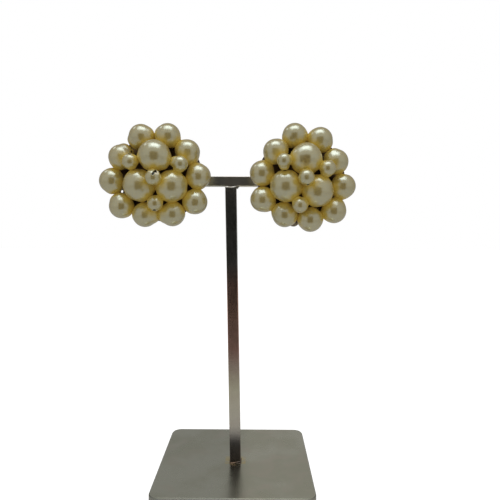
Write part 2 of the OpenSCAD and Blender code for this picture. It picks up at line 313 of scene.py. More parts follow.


# Finish of the stand: satin grey metal, its tones by height in part painted shade and reflection,
# with a halo browned by the heat of soldering round the foot.
standFinish = {
    "light": (1.05, 1.05, 1.04, 1),
    "dark": (0.93, 0.93, 0.88, 1),
    "mottleScale": 55.0,
    "pink": (1.06, 0.98, 0.98, 1),
    "patchScale": 130.0,
    "pinkLimits": (0.5, 0.75),
    "mostPink": 0.5,
    "base": (0.562, 0.562, 0.470, 1),
    "edge": (0.31, 0.31, 0.27, 1),
    # Tones of the post and the bar at heights in mm, in part painted shade and reflection: darker at
    # the foot, pale above it, brown half way up, and darker again.
    "tonesAndPaintedShade": (
        (3.4, (0.20, 0.165, 0.15)), (4.5, (0.27, 0.23, 0.225)), (10.0, (0.265, 0.245, 0.24)),
        (16.0, (0.54, 0.505, 0.435)), (29.0, (0.54, 0.505, 0.38)), (37.0, (0.485, 0.39, 0.32)),
        (43.0, (0.53, 0.32, 0.26)), (49.0, (0.68, 0.41, 0.33)), (55.0, (1.0, 0.61, 0.48)),
        (65.0, (0.78, 0.50, 0.42)), (72.0, (0.52, 0.50, 0.49)), (77.0, (0.38, 0.38, 0.37)),
        (90.0, (0.40, 0.41, 0.39)), (96.0, (0.54, 0.52, 0.50)), (97.8, (0.58, 0.57, 0.52)),
    ),
    "tonesEnd": 100.0,
    # Heights in mm between which one part of the stand passes into the next.
    "edgeTop": (2.94, 2.99),
    "baseTop": (3.02, 3.06),
    "skirtTop": (3.1, 3.3),
    "barBottom": (97.0, 98.0),
    # Tints of the right side of the base and of the bar, and of the halo round the foot.
    "right": (1.24, 1.22, 1.20, 1),
    "rightBar": (1.19, 1.13, 1.09, 1),
    "halo": (1.17, 1.02, 0.74, 1),
    "rightStart": (-2.0, 6.0),         # mm along x
    "rightBarStart": (-6.0, -2.0),
    "foot": ((0.2, 3.6), (-0.9, 2.8)),   # middle and reach of the halo along x and y, in mm
    "haloFade": (-0.5, 0.3),             # mm about that reach
    "haloScale": 420.0,
    "haloLimits": (0.22, 0.52),
    "roughness": (0.225, 0.265),
    # Roughness added on the base, on the bar and on the solder at the foot.
    "baseRoughness": 0.04,
    "barRoughness": 0.06,
    "skirtRoughness": 0.45,
    "grain": {"Scale": 900.0, "Strength": 0.08, "Distance": 0.0001},
}


def toneByHeight(tree, height, rows, top, place=(0, 0)):
    # A colour ramp along the height, with its stops in mm.
    node = addNode(tree, "ShaderNodeValToRGB", place)
    join(tree, mathNode(tree, "DIVIDE", height, top * mm, (place[0] - 1, place[1])), node.inputs[0])
    stops = node.color_ramp.elements
    stops.remove(stops[1])
    for k, (at, colour) in enumerate(rows):
        stop = stops[0] if k == 0 else stops.new(at / top)
        stop.position = at / top
        stop.color = (*colour, 1)
    return node.outputs[0]


def makeHalo(tree, coords, axes, values):
    # A ragged patch round the foot of the post.
    cloud = noiseNode(tree, coords, values["haloScale"], 2.0, 0.5, (-4, 8))
    halo = ramp(tree, cloud, values["haloLimits"], (-2, 8))
    for k, (middle, reach) in enumerate(values["foot"]):
        row = 9 + k
        away = mathNode(tree, "SUBTRACT", axes[k], middle * mm, (-3, row))
        away = mathNode(tree, "ABSOLUTE", away, 0.0, (-2, row))
        fade = [reach + more for more in values["haloFade"]]
        halo = multiply(tree, halo, rampMm(tree, away, fade, (-1, row), (1.0, 0.0)), (0, row))
    return halo


def makeStandMaterial(values):
    material, tree, shader, coords = newMaterial("satinSteel")
    axes = splitAxes(tree, coords, (-5, 3))
    height = axes[2]
    onBase = rampMm(tree, height, values["baseTop"], (-2, 4), (1.0, 0.0))
    onEdge = rampMm(tree, height, values["edgeTop"], (-2, 10), (1.0, 0.0))
    onSkirt = rampMm(tree, height, values["skirtTop"], (-2, 5), (1.0, 0.0))
    onSkirt = mathNode(tree, "SUBTRACT", onSkirt, onBase, (-1, 5))
    onBar = rampMm(tree, height, values["barBottom"], (-2, 6))
    # Light, dark and pinkish clouds over the tone of each height.
    patch = noiseNode(tree, coords, values["patchScale"], 2.0, 0.5, (-4, 1), 0.6)
    mottle = addGroup(tree, mottleGroup, (-1, 0), Vector=coords, Scale=values["mottleScale"],
                      Colour_A=values["light"], Colour_B=values["dark"])["Colour"]
    pinkness = ramp(tree, patch, values["pinkLimits"], (-2, 1), (0.0, values["mostPink"]))
    mottle = mixColour(tree, pinkness, mottle, values["pink"], (0, 0))
    # Tones by height, in part painted shade and reflection.
    tone = toneByHeight(tree, height, values["tonesAndPaintedShade"], values["tonesEnd"], (0, 2))
    tone = mixColour(tree, onBase, tone, values["base"], (1, 2))
    tone = mixColour(tree, onEdge, tone, values["edge"], (2, 2))
    colour = mixColour(tree, 1.0, tone, mottle, (1, 0), "MULTIPLY")
    # Base and bar are paler to the right, and heat has left a golden halo round the foot.
    right = multiply(tree, rampMm(tree, axes[0], values["rightStart"], (-2, 3)), onBase, (-1, 3))
    rightBar = multiply(tree, rampMm(tree, axes[0], values["rightBarStart"], (-2, 7)), onBar, (-1, 7))
    halo = multiply(tree, makeHalo(tree, coords, axes, values), onBase, (0, 8))
    for k, (mask, key) in enumerate(((right, "right"), (rightBar, "rightBar"), (halo, "halo"))):
        colour = tint(tree, mask, colour, values[key], (3 + k, 0))
    rough = ramp(tree, patch, noiseSpan, (0, 4), values["roughness"])
    for mask, key in ((onBase, "baseRoughness"), (onBar, "barRoughness"), (onSkirt, "skirtRoughness")):
        rough = mathNode(tree, "ADD", rough, multiply(tree, mask, values[key], (2, 4)), (3, 4))
    feed(tree, shader, Base_Color=colour, Metallic=1.0, Roughness=rough)
    addGrain(tree, shader, coords, values["grain"])
    return material


# Finishes of the earrings' metal. Front and back have a dark and a light colour each, and the
# roughness is that of the dark and of the light.
metalFinishes = {
    "plateMetal": {"front": ((0.035, 0.020, 0.010, 1), (0.13, 0.085, 0.042, 1)),
                   "back": ((0.20, 0.15, 0.075, 1), (0.40, 0.31, 0.17, 1)),
                   "scale": 180.0, "roughness": (0.62, 0.46)},
    "clipMetal": {"front": ((0.22, 0.18, 0.12, 1), (0.46, 0.40, 0.28, 1)),
                  "back": ((0.30, 0.25, 0.165, 1), (0.52, 0.455, 0.32, 1)),
                  "scale": 330.0, "roughness": (0.47, 0.31)},
    "wireMetal": {"front": ((0.06, 0.04, 0.02, 1), (0.30, 0.22, 0.11, 1)),
                  "back": ((0.06, 0.04, 0.02, 1), (0.30, 0.22, 0.11, 1)),
                  "scale": 400.0, "roughness": (0.57, 0.41)},
}

tarnishValues = {
    # Clouds of tarnish on each side: how much finer than the metal's scale, and their shape.
    "clouds": (
        ("front", 1.0, {"Warp": 0.4, "Low": 0.35, "High": 0.68}),
        ("back", 1.6, {"Warp": 0.3, "Low": 0.30, "High": 0.72}),
    ),
    "backLimits": (-0.2, 0.4),   # y of the normal, from front to back
    "grain": {"Scale": 1400.0, "Strength": 0.2, "Distance": 0.0002},
}


def makeTarnished(name, values, tarnish):
    material, tree, shader, coords = newMaterial(name)
    front, back = (
        addGroup(tree, mottleGroup, (-2, 2 * k), Vector=coords, Scale=values["scale"] * finer,
                 Colour_A=values[side][0], Colour_B=values[side][1], **clouds)
        for k, (side, finer, clouds) in enumerate(tarnish["clouds"]))
    # The back, which faces +Y, is less tarnished than the side towards the pearls.
    normal = addNode(tree, "ShaderNodeTexCoord", (-4, 4)).outputs["Normal"]
    behind = ramp(tree, splitAxes(tree, normal, (-3, 4))[1], tarnish["backLimits"], (-2, 4))
    colour = mixColour(tree, behind, front["Colour"], back["Colour"], (1, 0))
    rough = ramp(tree, front["Mask"], (0.0, 1.0), (0, 4), values["roughness"])
    feed(tree, shader, Base_Color=colour, Metallic=1.0, Roughness=rough)
    addGrain(tree, shader, coords, tarnish["grain"])
    return material


pearlLacquer = makePearlMaterial(pearlFinish)
satinSteel = makeStandMaterial(standFinish)
tarnished = {name: makeTarnished(name, values, tarnishValues) for name, values in metalFinishes.items()}
print("materials made")


# Ways to build a Geometry Nodes tree, and to make a mesh with it.
def startTree(name, inputs):
    tree = bpy.data.node_groups.new(name, "GeometryNodeTree")
    sockets = addSockets(tree, inputs, (("Geometry", "Geometry"),))
    return tree, sockets, addNode(tree, "NodeGroupInput", (-6, 0)).outputs


def finishTree(tree, geometry, material, column):
    smooth = addNode(tree, "GeometryNodeSetShadeSmooth", (column, 0))
    join(tree, geometry, smooth.inputs[0])
    realised = addNode(tree, "GeometryNodeRealizeInstances", (column + 1, 0))
    join(tree, smooth.outputs[0], realised.inputs[0])
    finished = addNode(tree, "GeometryNodeSetMaterial", (column + 2, 0))
    feed(tree, finished, Geometry=realised.outputs[0], Material=material)
    join(tree, finished.outputs[0], addNode(tree, "NodeGroupOutput", (column + 3, 0)).inputs[0])


def meshFromTree(name, tree, sockets, settings, start=None):
    # Runs the tree once and keeps its result as a plain mesh.
    carrier = addPiece(name, start or bpy.data.meshes.new(name + "Start"))
    modifier = carrier.modifiers.new("build", "NODES")
    modifier.node_group = tree
    for key, value in settings.items():
        modifier[sockets[key]] = value
    evaluated = carrier.evaluated_get(bpy.context.evaluated_depsgraph_get())
    mesh = bpy.data.meshes.new_from_object(evaluated)
    bpy.data.objects.remove(carrier)
    mesh.name = name
    return mesh


# Pearls. Each is a ball turned round its stringing hole, a little uneven as lacquered pearls are.
pearlValues = {
    "holeDiameter": 1.0,   # mm
    "steps": {"Around": 56, "Along": 42},
    "fineSteps": {"Around": 96, "Along": 96},   # on pearls with marks
    "randomSeed": 7,
    "patterns": 50,              # stretch of noise that the pearls' shapes are drawn from
    "unevenness": 0.022,         # shares of the radius
    "ripple": 0.005,
    "unevennessScale": 1.3,
    "rippleScale": 3.4,
    "noiseMiddle": 0.55,         # taken off the noise, so that it dents as well as swells
    "longestNeck": 0.6,          # mm
    "shorterNecks": {"right_large_pearl_2": 0.15},
    "neckGap": 0.004,            # mm that a neck stays short of the middle of its gap
    "neckStart": 0.60,           # cosines at which the necks start and level off
    "ringNeckFlat": 0.945,
    "innerNeckFlat": 0.965,
    "joinReach": 1.9,            # mm at which the lacquer of two pearls starts to run together
    "joinOverlap": 0.04,         # mm by which joined surfaces may pass the middle of their gap
    # Reach of the joins from a ring pearl to the next one round the ring, where it isn't the usual one.
    "ringReaches": {
        "left_ring_pearl_1": 0.9, "left_ring_pearl_5": 0.6, "left_ring_pearl_6": 3.0,
        "left_ring_pearl_7": 0.5, "left_ring_pearl_8": 1.1, "left_ring_pearl_9": 1.0,
        "left_ring_pearl_10": 0.4, "right_ring_pearl_1": 1.4, "right_ring_pearl_2": 0.8,
        "right_ring_pearl_3": 0.9, "right_ring_pearl_5": 1.4, "right_ring_pearl_6": 0.9,
        "right_ring_pearl_8": 0.7, "right_ring_pearl_10": 1.5,
    },
    "ringCount": 10,
    "innerOrder": ("large_pearl_1", "small_pearl_2", "large_pearl_3",
                   "small_pearl_3", "large_pearl_2", "small_pearl_1"),
    "topPearl": "small_pearl_4",
    "outside": 0.9,              # share of the radius beyond which the surface is the outer one
    "boreDepth": 0.6,            # share of the radius within which only the bore's wall lies
    # Yellowing and painted golden bounce light near other pearls: its strength where they touch, and
    # the distance in mm over which it falls by one, before the power sharpens it.
    "yellowingAndBounce": {"touching": 1.1, "fallsOver": 3.0, "power": 1.2},
    # Holes that show: direction with x to the right and z up, reach of the chipped rim in degrees,
    # and True for a broad chip with a painted lit wall, or False for a hole painted dark as shade with
    # a narrow rim.
    "openHoles": {
        "left_small_pearl_1": ((0.08, -0.34, 0.94), 18, False),
        "left_small_pearl_3": ((0.00, -0.42, -0.91), 19, False),
        "left_small_pearl_4": ((0.46, -0.58, 0.67), 27, True),
        "right_small_pearl_4": ((0.14, -0.19, -0.97), 17, False),
    },
    # The rim of a chip: its mean and its waves, each with share, count and shift round the rim.
    "rimMean": 0.85,
    "rimWaves": ((0.15, 1, 0), (0.08, 3, 1), (0.05, 7, 0)),
    "rimSide": (0.7, 0.0, -0.7),   # the side on which the rim is widest, where a broad chip shows its painted lit wall
    "rimFade": 3,                  # degrees
    "broadBare": (-0.5, 0.2),      # cosines from that side over which a broad chip turns pale as its painted lit wall
    "narrowBare": 0.2,
    "holeFade": (0.6, 0.9),        # shares of the rim's reach over which the painted shade of the hole fades
    "chipDepth": 0.04,             # shares of the radius
    "crackDepth": 0.12,
    # The middle pearl of the left earring is split from its hole, a groove painted dark as shade: ends
    # and half width of the crack.
    "cracks": {"left_small_pearl_4": ((0.13, -0.94, 0.30), (0.44, -0.10, 0.89), 0.125)},
    "crackFade": (0.75, 1.25),     # shares of that half width over which the crack fades
    # Stains: direction, reach in degrees and strength.
    "stains": {
        "left_ring_pearl_10": (((0.58, -0.47, 0.66), 36, 0.6),),
        "right_large_pearl_1": (((-0.11, -0.96, -0.25), 24, 0.6),),
        "left_ring_pearl_4": (((0.53, -0.30, -0.79), 16, 0.6),),
    },
    "stainHeart": 0.4,             # share of the reach where a stain or a pit is full
    "pitHeart": 0.5,
    "pitStrength": 0.9,
    # Dark pits, painted as dark spots with no dent: direction and reach in degrees.
    "pits": {
        "left_ring_pearl_10": (((0.86, -0.38, 0.34), 7), ((0.80, -0.25, 0.55), 4)),
        "right_ring_pearl_7": (((-0.05, -0.73, -0.68), 3.5),),
    },
    # Flattened places: direction and depth as a share of the radius.
    "flats": {
        "left_large_pearl_1": (((-0.80, -0.25, -0.55), 0.035), ((0.93, -0.1, 0.30), 0.03)),
        "left_large_pearl_2": (((0.10, -0.35, 0.93), 0.025),),
        "right_ring_pearl_4": (((0.20, -0.10, 0.97), 0.04),),
        "right_small_pearl_4": (((0.50, -0.30, -0.80), 0.05), ((-0.2, -0.3, -0.93), 0.04)),
    },
    "flatness": 0.8,               # 1 would make the flats quite level
}


def buildPearlTree(values):
    tree, sockets, inputs = startTree("pearlBead", (
        ("Radius", "Float", 0.004), ("Hole Radius", "Float", 0.0005), ("Bend", "Float", 0.3),
        ("Neck Ahead", "Float", 0.0), ("Neck Behind", "Float", 0.0), ("Neck Flat", "Float", 0.96),
        ("Unevenness", "Float", 0.03), ("Ripple", "Float", 0.01), ("Seed", "Float", 0.0),
        ("Around", "Int", 40), ("Along", "Int", 30), ("Finish", "Material", None)))
    # Half the angle that the hole takes out of the ball, then the arc from hole to hole.
    hole = mathNode(tree, "DIVIDE", inputs["Hole Radius"], inputs["Radius"], (-5, 1))
    hole = mathNode(tree, "ARCSINE", hole, 0.0, (-4, 1))
    start = mathNode(tree, "SUBTRACT", hole, math.pi / 2, (-3, 1))
    sweep = multiply(tree, start, -2.0, (-2, 1))
    arc = addNode(tree, "GeometryNodeCurveArc", (-1, 0), mode="RADIUS")
    feed(tree, arc, Resolution=inputs["Along"], Radius=inputs["Radius"], Start_Angle=start,
         Sweep_Angle=sweep)
    closed = addNode(tree, "GeometryNodeSetSplineCyclic", (0, 0))
    feed(tree, closed, Geometry=arc.outputs["Curve"], Cyclic=True)
    # The rail is a small circle, so the profile is moved in by the rail's radius.
    railRadius = 1.0 * mm
    moved = addNode(tree, "GeometryNodeSetPosition", (1, 0))
    feed(tree, moved, Geometry=closed.outputs[0], Offset=(-railRadius, 0, 0))
    rail = addNode(tree, "GeometryNodeCurvePrimitiveCircle", (0, 2), mode="RADIUS")
    feed(tree, rail, Resolution=inputs["Around"], Radius=railRadius)
    ball = addNode(tree, "GeometryNodeCurveToMesh", (2, 0))
    feed(tree, ball, Curve=rail.outputs["Curve"], Profile_Curve=moved.outputs[0])
    # Uneven lacquer, and a neck of lacquer round each end of the hole, along the way from the middle.
    position = addNode(tree, "GeometryNodeInputPosition", (1, 4)).outputs[0]
    outward = addNode(tree, "ShaderNodeVectorMath", (2, 4), operation="NORMALIZE")
    outward = feed(tree, outward, i0=position).outputs[0]
    alongHole = splitAxes(tree, outward, (3, 9))[2]
    offsets = []
    for k, (scale, amount) in enumerate(((values["unevennessScale"], "Unevenness"),
                                         (values["rippleScale"], "Ripple"))):
        row = 4 + 2 * k
        field = addNode(tree, "ShaderNodeTexNoise", (3, row), noise_dimensions="4D")
        feed(tree, field, Vector=outward, W=inputs["Seed"], Scale=scale, Detail=0.0)
        centred = mathNode(tree, "SUBTRACT", field.outputs["Fac"], values["noiseMiddle"], (4, row))
        scaled = multiply(tree, centred, inputs[amount], (5, row))
        offsets.append(multiply(tree, scaled, inputs["Radius"], (6, row)))
    for k, (sign, neck) in enumerate(((1, "Neck Ahead"), (-1, "Neck Behind"))):
        row = 9 + k
        along = multiply(tree, alongHole, sign, (4, row))
        shape = ramp(tree, along, (values["neckStart"], inputs["Neck Flat"]), (5, row))
        offsets.append(multiply(tree, shape, inputs[neck], (6, row)))
    total = offsets[0]
    for more in offsets[1:]:
        total = mathNode(tree, "ADD", total, more, (7, 5))
    push = addNode(tree, "ShaderNodeVectorMath", (8, 4), operation="SCALE")
    feed(tree, push, i0=outward, Scale=total)
    uneven = addNode(tree, "GeometryNodeSetPosition", (9, 0))
    feed(tree, uneven, Geometry=ball.outputs[0], Offset=push.outputs[0])
    # The hole bends inside the pearl: each half turns towards the neighbour on its side.
    half = mathNode(tree, "SINE", multiply(tree, alongHole, math.pi / 2, (7, 8)), 0.0, (8, 8))
    turned = addNode(tree, "ShaderNodeVectorRotate", (9, 3), rotation_type="Y_AXIS")
    feed(tree, turned, Vector=addNode(tree, "GeometryNodeInputPosition", (8, 2)).outputs[0],
         Angle=multiply(tree, half, inputs["Bend"], (8, 7)))
    bent = addNode(tree, "GeometryNodeSetPosition", (10, 0))
    feed(tree, bent, Geometry=uneven.outputs[0], Position=turned.outputs[0])
    finishTree(tree, bent.outputs[0], inputs["Finish"], 11)
    return tree, sockets


def middleOf(node):
    low, high = (Vector(corner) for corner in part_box(node))
    return (low + high) / 2, (high - low).x / 2


def frameFrom(along, inward):
    # A turn that takes +Z to the hole's way and +X towards the inside of its bend.
    z = along.normalized()
    x = (inward - inward.dot(z) * z).normalized()
    return Matrix((x, z.cross(x), z)).transposed().to_4x4()


def placesOnWire(side, values):
    # Middle, radius, turn, bend and necks of each pearl of one earring.
    ring = [f"{side}_ring_pearl_{k + 1}" for k in range(values["ringCount"])]
    inner = [f"{side}_{name}" for name in values["innerOrder"]]
    places = {}
    for order in (ring, inner):
        for k, node in enumerate(order):
            middle, radius = middleOf(node)
            ends = [middleOf(order[(k + step) % len(order)]) for step in (1, -1)]
            ahead, behind = ((end - middle).normalized() for end, _ in ends)
            gaps = [(end - middle).length - radius - other for end, other in ends]
            longest = values["shorterNecks"].get(node, values["longestNeck"]) * mm
            necks = [min(longest, max(0.0, 0.5 * gap - values["neckGap"] * mm)) for gap in gaps]
            bend = math.pi / 2 - ahead.angle(behind) / 2
            places[node] = (middle, radius, frameFrom(ahead - behind, ahead + behind), bend, necks)
    # The top pearl is bored straight, and so are those whose hole shows.
    straight = {f"{side}_{values['topPearl']}": (0, 1, 0)}
    for node, hole in values["openHoles"].items():
        if node.startswith(side):
            straight[node] = hole[0]
    for node, way in straight.items():
        turn = frameFrom(Vector(way), Vector((1, 0, 0)))
        places[node] = (*middleOf(node), turn, 0.0, (0.0, 0.0))
    return places


def readPoints(mesh):
    points = np.empty(len(mesh.vertices) * 3)
    mesh.vertices.foreach_get("co", points)
    return points.reshape(-1, 3)


def smoothStep(value, low, high):
    t = np.clip((value - low) / (high - low), 0.0, 1.0)
    return t * t * (3 - 2 * t)


def unitVector(way):
    return np.array(Vector(way).normalized())


def lengthsOf(vectors):
    return np.linalg.norm(vectors, axis=1)


def degreesFrom(ways, axis):
    return np.degrees(np.arccos(np.clip(ways @ axis, -1, 1)))


def joinReach(node, other, values):
    # The reach is given with the first pearl of the pair, going round the ring.
    for first, second in ((node, other), (other, node)):
        head, number = first.rsplit("_", 1)
        following = f"{head}_{int(number) % values['ringCount'] + 1}"
        if first in values["ringReaches"] and second == following:
            return values["ringReaches"][first]
    return values["joinReach"]


def growJoins(points, node, places, values):
    # Lacquer has pooled where pearls nearly meet: each surface swells towards the others near it.
    own = np.array(places[node][0])
    swell = np.zeros(len(points))
    for other, (middle, radius, *_) in places.items():
        if other != node:
            gap = np.maximum(lengthsOf(points + own - np.array(middle)) - radius, 0.0)
            reach = joinReach(node, other, values) * mm
            pooled = np.maximum(reach - gap, 0.0) ** 2 / (4 * reach)
            swell = np.maximum(swell, np.minimum(pooled, gap / 2 + values["joinOverlap"] * mm))
    return points + swell[:, None] * points / lengthsOf(points)[:, None]


def spotMask(ways, way, reach, heart):
    # A round spot that is full over its heart and fades out at its reach.
    return 1.0 - smoothStep(degreesFrom(ways, unitVector(way)), heart * reach, reach)


def crackMask(ways, crack, fade):
    # A band along the arc between two directions.
    start, end, half = (np.array(value) for value in crack)
    start, end = start / np.linalg.norm(start), end / np.linalg.norm(end)
    run = end - start
    share = np.clip((ways - start) @ run / (run @ run), 0, 1)
    nearest = start + share[:, None] * run
    apart = lengthsOf(ways - nearest / lengthsOf(nearest)[:, None])
    return 1.0 - smoothStep(apart, fade[0] * half, fade[1] * half)


def chipRim(points, ways, radius, hole, marks, values):
    # The chipped rim of a hole is ragged, wider on one side, and pale where the core shows. A broad
    # chip is pale only on that side, as a painted lit inner wall, and a narrow hole is painted dark as
    # shade.
    way, size, broad = hole
    axis = unitVector(way)
    angle = degreesFrom(ways, axis)
    across = ways - (ways @ axis)[:, None] * axis
    side = np.cross(axis, np.cross(np.array(values["rimSide"]), axis))
    turn = np.arctan2(across @ np.cross(axis, side), across @ side)
    rim = np.full(len(ways), values["rimMean"])
    for share, count, shift in values["rimWaves"]:
        rim += share * np.cos(count * turn + shift)
    rim *= size
    chipped = 1.0 - smoothStep(angle, rim - values["rimFade"], rim)
    points -= values["chipDepth"] * radius * chipped[:, None] * ways
    # A broad chip is pale towards rimSide, a painted lit inner wall; a narrow hole is painted dark as
    # shade.
    if broad:
        marks["bareCoreAndLitWall"] = chipped * smoothStep(np.cos(turn), *values["broadBare"])
    else:
        marks["bareCoreAndLitWall"] = chipped * values["narrowBare"]
        near, far = values["holeFade"]
        marks["holeShadeAndSpots"] = 1.0 - smoothStep(angle, near * rim, far * rim)


def shapeAndMark(mesh, node, places, values):
    # Joins, flattens, chips and stains a pearl in place, and returns the masks of what it marked.
    middle, radius = places[node][:2]
    points = readPoints(mesh) - np.array(middle)
    outside = lengthsOf(points) > values["outside"] * radius
    points[outside] = growJoins(points[outside], node, places, values)
    ways = points / lengthsOf(points)[:, None]
    marks = {name: np.zeros(len(points)) for name in ("stain", "bareCoreAndLitWall", "holeShadeAndSpots")}
    for way, depth in values["flats"].get(node, ()):
        axis = unitVector(way)
        beyond = np.maximum(0.0, points @ axis - radius * (1 - depth))
        points -= values["flatness"] * beyond[:, None] * axis
    for way, reach, strength in values["stains"].get(node, ()):
        spot = strength * spotMask(ways, way, reach, values["stainHeart"])
        marks["stain"] = np.maximum(marks["stain"], spot)
    for way, reach in values["pits"].get(node, ()):
        spot = values["pitStrength"] * spotMask(ways, way, reach, values["pitHeart"])
        marks["holeShadeAndSpots"] = np.maximum(marks["holeShadeAndSpots"], spot)
    if node in values["openHoles"]:
        chipRim(points, ways, radius, values["openHoles"][node], marks, values)
    # A crack is a groove painted dark as shade.
    if node in values["cracks"]:
        crack = crackMask(ways, values["cracks"][node], values["crackFade"])
        points -= values["crackDepth"] * radius * crack[:, None] * ways
        marks["holeShadeAndSpots"] = np.maximum(marks["holeShadeAndSpots"], crack)
    mesh.vertices.foreach_set("co", (points + np.array(middle)).ravel())
    mesh.update()
    return marks


def paintBoreShade(mesh, middle, radius, holeShadeAndSpots, depth):
    # The wall of the stringing hole is painted dark as shade: its long faces run through the ball.
    corners = np.empty(len(mesh.loops), dtype=np.int32)
    mesh.loops.foreach_get("vertex_index", corners)
    inside = np.array([(face.center - middle).length < depth * radius for face in mesh.polygons])
    sizes = np.array([face.loop_total for face in mesh.polygons])
    dark = np.maximum(holeShadeAndSpots[corners], np.repeat(inside, sizes))
    mesh.attributes.new("holeShadeAndSpots", "FLOAT", "CORNER").data.foreach_set("value", dark.astype(np.float32))


def paintMasks(mesh, node, places, shade, marks, yellowingAndBounce):
    # Marks how close each point is to the next pearls, for the yellowing with its painted bounce light
    # and glow in the crevices.
    points = readPoints(mesh)
    nearest = np.full(len(points), 1.0)
    for other, (middle, radius, *_) in places.items():
        if other != node:
            nearest = np.minimum(nearest, lengthsOf(points - np.array(middle)) - radius)
    closeness = np.clip(yellowingAndBounce["touching"] - nearest / (yellowingAndBounce["fallsOver"] * mm), 0.0, 1.0)
    masks = {"creviceYellowAndBounce": closeness ** yellowingAndBounce["power"], "shade": np.full(len(points), shade),
             "bareCoreAndLitWall": marks["bareCoreAndLitWall"], "stain": marks["stain"]}
    for name, value in masks.items():
        layer = mesh.attributes.new(name, "FLOAT", "POINT")
        layer.data.foreach_set("value", value.astype(np.float32))


def buildPearls(values):
    tree, sockets = buildPearlTree(values)
    draws = np.random.default_rng(values["randomSeed"])
    for side in ("left", "right"):
        places = placesOnWire(side, values)
        for node, (middle, radius, turn, bend, necks) in places.items():
            marked = any(node in values[key] for key in ("openHoles", "stains", "pits"))
            mesh = meshFromTree(node.replace("_", "") + "Look", tree, sockets, {
                "Radius": radius, "Hole Radius": values["holeDiameter"] * mm / 2,
                "Bend": bend, "Neck Ahead": necks[0], "Neck Behind": necks[1],
                "Neck Flat": values["ringNeckFlat" if "_ring_" in node else "innerNeckFlat"],
                "Unevenness": values["unevenness"], "Ripple": values["ripple"],
                "Seed": float(draws.uniform(0, values["patterns"])),
                **values["fineSteps" if marked else "steps"], "Finish": pearlLacquer,
            })
            mesh.transform(Matrix.Translation(middle) @ turn)
            marks = shapeAndMark(mesh, node, places, values)
            paintMasks(mesh, node, places, float(draws.uniform(0, 1)), marks, values["yellowingAndBounce"])
            paintBoreShade(mesh, middle, radius, marks["holeShadeAndSpots"], values["boreDepth"])
            piece = addPiece(node + "_lacquered", mesh)
            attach(piece, "root")
            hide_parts(node)


buildPearls(pearlValues)
print("pearls made")


# Solder: a bright bead under the bar and a thin uneven weld round the foot of the post.
solderValues = {
    "sides": 10,
    "beadStep": 0.25,        # mm between rings along a bead
    "unevenness": 0.1,       # mm
    "unevennessScale": 1500.0,
    "firstSeed": 3.0,
    "bright": (0.80, 0.79, 0.74, 1),
    "silver": (0.24, 0.235, 0.225, 1),
    "copper": (0.46, 0.34, 0.25, 1),
    "silverStart": (0.8, 3.0),     # mm along x
    "brightStart": (10.0, 50.0),   # mm of height
    "cloudScale": 500.0,
    "wander": 2.0,                 # mm by which the clouds shift the copper's border
    "mottle": {"Scale": 800.0, "Colour_A": (1.1, 1.1, 1.1, 1), "Colour_B": (0.75, 0.73, 0.70, 1)},
    "roughness": (0.28, 0.38),
    "footRoughness": 0.35,         # added at the foot
    "grain": {"Scale": 1100.0, "Strength": 0.25, "Distance": 0.0002},
    # Paths in mm: rows of (x, y, z, radius) along each bead.
    "paths": {
        "joint_solder": (
            (-3.45, -3.36, 97.90, 0.08), (-2.9, -3.42, 97.79, 0.19), (-2.3, -3.43, 97.69, 0.23),
            (-1.6, -3.42, 97.66, 0.17), (-0.9, -3.42, 97.70, 0.17), (-0.3, -3.43, 97.80, 0.22),
            (0.2, -3.38, 97.88, 0.10),
        ),
        "foot_weld": (
            (1.9, -3.38, 3.75, 0.08), (1.2, -3.42, 3.58, 0.15), (0.3, -3.46, 3.38, 0.20),
            (-0.6, -3.50, 3.20, 0.26), (-1.3, -3.50, 3.10, 0.28), (-1.65, -3.36, 3.06, 0.20),
            (-1.74, -2.6, 3.04, 0.10), (-1.74, -0.9, 3.04, 0.08),
        ),
    },
}


def makeSolderMaterial(values):
    material, tree, shader, coords = newMaterial("solder")
    axes = splitAxes(tree, coords, (-5, 3))
    cloud = noiseNode(tree, coords, values["cloudScale"], 3.0, 0.6, (-4, 0))
    # Bright under the bar, and at the foot copper brown on the left and dull silver on the right.
    shift = multiply(tree, cloud, values["wander"] * mm, (-3, 1))
    across = mathNode(tree, "ADD", axes[0], shift, (-2, 1))
    silvery = rampMm(tree, across, values["silverStart"], (-1, 1))
    foot = mixColour(tree, silvery, values["copper"], values["silver"], (0, 1))
    high = rampMm(tree, axes[2], values["brightStart"], (-1, 3))
    colour = mixColour(tree, high, foot, values["bright"], (1, 0))
    mottle = addGroup(tree, mottleGroup, (1, 3), Vector=coords, **values["mottle"])["Colour"]
    colour = mixColour(tree, 1.0, colour, mottle, (2, 0), "MULTIPLY")
    rough = mathNode(tree, "ADD", ramp(tree, cloud, noiseSpan, (0, 4), values["roughness"]),
                     ramp(tree, high, (0.0, 1.0), (0, 5), (values["footRoughness"], 0.0)), (1, 5))
    feed(tree, shader, Base_Color=colour, Metallic=1.0, Roughness=rough)
    addGrain(tree, shader, coords, values["grain"])
    return material


